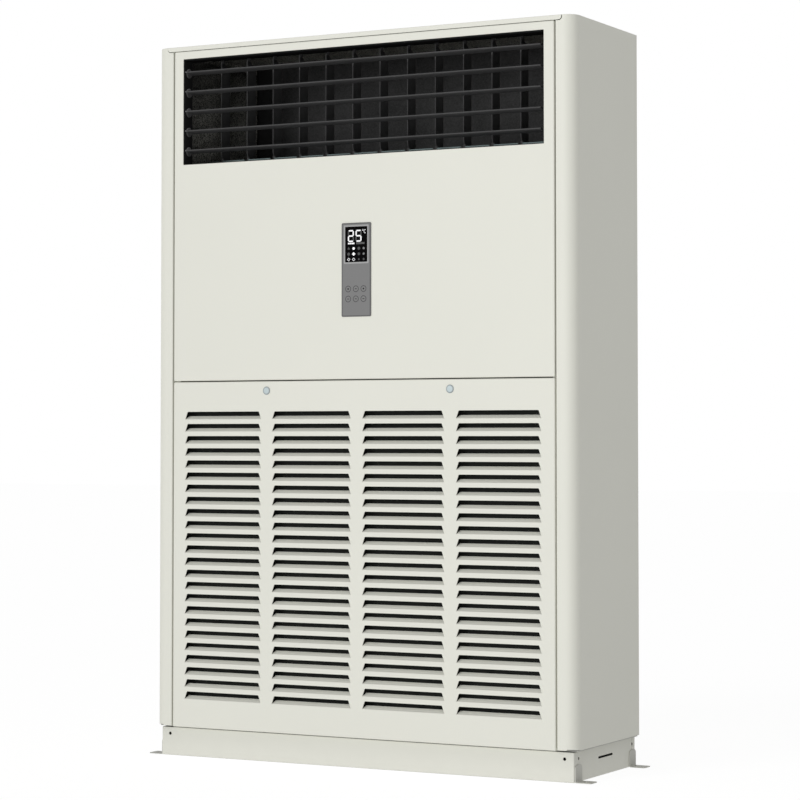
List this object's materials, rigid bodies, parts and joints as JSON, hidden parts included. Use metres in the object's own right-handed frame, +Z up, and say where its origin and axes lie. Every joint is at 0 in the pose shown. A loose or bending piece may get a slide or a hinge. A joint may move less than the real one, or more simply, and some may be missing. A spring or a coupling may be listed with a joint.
{
  "type": "floor standing air conditioner",
  "caption": "Tall sheet steel indoor cabinet with rounded front corners, louvred intake panel below, vaned air outlet above, small control plate, low base on bolt-down feet.",
  "frame": {"origin": "on the floor, at the middle of the cabinet's plan", "axes": "+Z up, the front faces -Y, +X to the right seen from the front"},
  "size_m": [1.26, 0.388, 1.845],
  "materials": {
    "cabinet_paint": "satin powder coat, warm white",
    "base_paint": "satin powder coat, warm white",
    "galvanised_sheet": "dull galvanised",
    "cap_plastic": "satin, pale blue grey",
    "grey_plate": "fine matt film over plastic",
    "display_black": "glossy black window",
    "black_plastic": "matt moulded",
    "vane_plastic": "satin moulded, dark grey",
    "lining_foam": "open-cell foam, matt",
    "filter_mesh": "fine woven mesh, black"
  },
  "bodies": {
    "cabinet": {"base_front_skirt": "base_paint", "base_rear_skirt": "base_paint", "base_left_side": "base_paint", "base_right_side": "base_paint", "base_tray": "galvanised_sheet", "foot_front_left": "base_paint", "foot_front_right": "base_paint", "foot_rear_left": "base_paint", "foot_rear_right": "base_paint", "left_side_panel": "cabinet_paint", "right_side_panel": "cabinet_paint", "back_panel": "cabinet_paint", "top_cover": "cabinet_paint", "upper_front_panel": "cabinet_paint", "intake_grille_panel": "cabinet_paint", "left_screw_cap": "cap_plastic", "right_screw_cap": "cap_plastic", "control_plate": "grey_plate", "display_window": "display_black", "outlet_frame": "black_plastic", "lower_vane_rail": "galvanised_sheet", "upper_vane_rail": "black_plastic", "left_lining": "lining_foam", "right_lining": "lining_foam", "ceiling_lining": "lining_foam", "plenum_floor": "galvanised_sheet", "plenum_rear_wall": "black_plastic", "filter_frame": "black_plastic", "filter_mesh": "filter_mesh"},
    "horizontal_vane_1": {"horizontal_vane_1": "vane_plastic"},
    "horizontal_vane_2": {"horizontal_vane_2": "vane_plastic"},
    "horizontal_vane_3": {"horizontal_vane_3": "vane_plastic"},
    "horizontal_vane_4": {"horizontal_vane_4": "vane_plastic"},
    "horizontal_vane_5": {"horizontal_vane_5": "vane_plastic"},
    "upright_vane_01": {"upright_vane_01": "vane_plastic"},
    "upright_vane_02": {"upright_vane_02": "vane_plastic"},
    "upright_vane_03": {"upright_vane_03": "vane_plastic"},
    "upright_vane_04": {"upright_vane_04": "vane_plastic"},
    "upright_vane_05": {"upright_vane_05": "vane_plastic"},
    "upright_vane_06": {"upright_vane_06": "vane_plastic"},
    "upright_vane_07": {"upright_vane_07": "vane_plastic"},
    "upright_vane_08": {"upright_vane_08": "vane_plastic"},
    "upright_vane_09": {"upright_vane_09": "vane_plastic"},
    "upright_vane_10": {"upright_vane_10": "vane_plastic"},
    "upright_vane_11": {"upright_vane_11": "vane_plastic"},
    "upright_vane_12": {"upright_vane_12": "vane_plastic"},
    "upright_vane_13": {"upright_vane_13": "vane_plastic"},
    "link_bar": {"link_bar": "black_plastic"}
  },
  "joints": [
    {"name": "horizontal_vane_1_tilt", "type": "hinge", "parent": "cabinet", "child": "horizontal_vane_1", "pos_m": [0, -0.168, 1.7771], "axis": [1, 0, 0], "range_deg": [-40, 40]},
    {"name": "horizontal_vane_2_tilt", "type": "hinge", "parent": "cabinet", "child": "horizontal_vane_2", "pos_m": [0, -0.168, 1.7257], "axis": [1, 0, 0], "range_deg": [-40, 40]},
    {"name": "horizontal_vane_3_tilt", "type": "hinge", "parent": "cabinet", "child": "horizontal_vane_3", "pos_m": [0, -0.168, 1.6743], "axis": [1, 0, 0], "range_deg": [-40, 40]},
    {"name": "horizontal_vane_4_tilt", "type": "hinge", "parent": "cabinet", "child": "horizontal_vane_4", "pos_m": [0, -0.168, 1.6229], "axis": [1, 0, 0], "range_deg": [-40, 40]},
    {"name": "horizontal_vane_5_tilt", "type": "hinge", "parent": "cabinet", "child": "horizontal_vane_5", "pos_m": [0, -0.168, 1.5715], "axis": [1, 0, 0], "range_deg": [-40, 40]},
    {"name": "upright_vane_01_swing", "type": "hinge", "parent": "cabinet", "child": "upright_vane_01", "pos_m": [-0.47852, -0.061, 1.6773], "axis": [0, 0, 1], "range_deg": [-40, 40]},
    {"name": "upright_vane_02_swing", "type": "hinge", "parent": "cabinet", "child": "upright_vane_02", "pos_m": [-0.39877, -0.061, 1.6773], "axis": [0, 0, 1], "range_deg": [-40, 40]},
    {"name": "upright_vane_03_swing", "type": "hinge", "parent": "cabinet", "child": "upright_vane_03", "pos_m": [-0.31902, -0.061, 1.6773], "axis": [0, 0, 1], "range_deg": [-40, 40]},
    {"name": "upright_vane_04_swing", "type": "hinge", "parent": "cabinet", "child": "upright_vane_04", "pos_m": [-0.23926, -0.061, 1.6773], "axis": [0, 0, 1], "range_deg": [-40, 40]},
    {"name": "upright_vane_05_swing", "type": "hinge", "parent": "cabinet", "child": "upright_vane_05", "pos_m": [-0.15951, -0.061, 1.6773], "axis": [0, 0, 1], "range_deg": [-40, 40]},
    {"name": "upright_vane_06_swing", "type": "hinge", "parent": "cabinet", "child": "upright_vane_06", "pos_m": [-0.07975, -0.061, 1.6773], "axis": [0, 0, 1], "range_deg": [-40, 40]},
    {"name": "upright_vane_07_swing", "type": "hinge", "parent": "cabinet", "child": "upright_vane_07", "pos_m": [0, -0.061, 1.6773], "axis": [0, 0, 1], "range_deg": [-40, 40]},
    {"name": "upright_vane_08_swing", "type": "hinge", "parent": "cabinet", "child": "upright_vane_08", "pos_m": [0.07975, -0.061, 1.6773], "axis": [0, 0, 1], "range_deg": [-40, 40]},
    {"name": "upright_vane_09_swing", "type": "hinge", "parent": "cabinet", "child": "upright_vane_09", "pos_m": [0.15951, -0.061, 1.6773], "axis": [0, 0, 1], "range_deg": [-40, 40]},
    {"name": "upright_vane_10_swing", "type": "hinge", "parent": "cabinet", "child": "upright_vane_10", "pos_m": [0.23926, -0.061, 1.6773], "axis": [0, 0, 1], "range_deg": [-40, 40]},
    {"name": "upright_vane_11_swing", "type": "hinge", "parent": "cabinet", "child": "upright_vane_11", "pos_m": [0.31902, -0.061, 1.6773], "axis": [0, 0, 1], "range_deg": [-40, 40]},
    {"name": "upright_vane_12_swing", "type": "hinge", "parent": "cabinet", "child": "upright_vane_12", "pos_m": [0.39877, -0.061, 1.6773], "axis": [0, 0, 1], "range_deg": [-40, 40]},
    {"name": "upright_vane_13_swing", "type": "hinge", "parent": "cabinet", "child": "upright_vane_13", "pos_m": [0.47852, -0.061, 1.6773], "axis": [0, 0, 1], "range_deg": [-40, 40]},
    {"name": "link_bar_swing", "type": "hinge", "parent": "upright_vane_07", "child": "link_bar", "pos_m": [0, -0.031, 1.5547], "axis": [0, 0, 1], "range_deg": [-40, 40]}
  ],
  "couplings": [
    {"joint": "upright_vane_01_swing", "follows": "upright_vane_07_swing", "ratio": 1},
    {"joint": "upright_vane_02_swing", "follows": "upright_vane_07_swing", "ratio": 1},
    {"joint": "upright_vane_03_swing", "follows": "upright_vane_07_swing", "ratio": 1},
    {"joint": "upright_vane_04_swing", "follows": "upright_vane_07_swing", "ratio": 1},
    {"joint": "upright_vane_05_swing", "follows": "upright_vane_07_swing", "ratio": 1},
    {"joint": "upright_vane_06_swing", "follows": "upright_vane_07_swing", "ratio": 1},
    {"joint": "upright_vane_08_swing", "follows": "upright_vane_07_swing", "ratio": 1},
    {"joint": "upright_vane_09_swing", "follows": "upright_vane_07_swing", "ratio": 1},
    {"joint": "upright_vane_10_swing", "follows": "upright_vane_07_swing", "ratio": 1},
    {"joint": "upright_vane_11_swing", "follows": "upright_vane_07_swing", "ratio": 1},
    {"joint": "upright_vane_12_swing", "follows": "upright_vane_07_swing", "ratio": 1},
    {"joint": "upright_vane_13_swing", "follows": "upright_vane_07_swing", "ratio": 1},
    {"joint": "link_bar_swing", "follows": "upright_vane_07_swing", "ratio": -1}
  ]
}
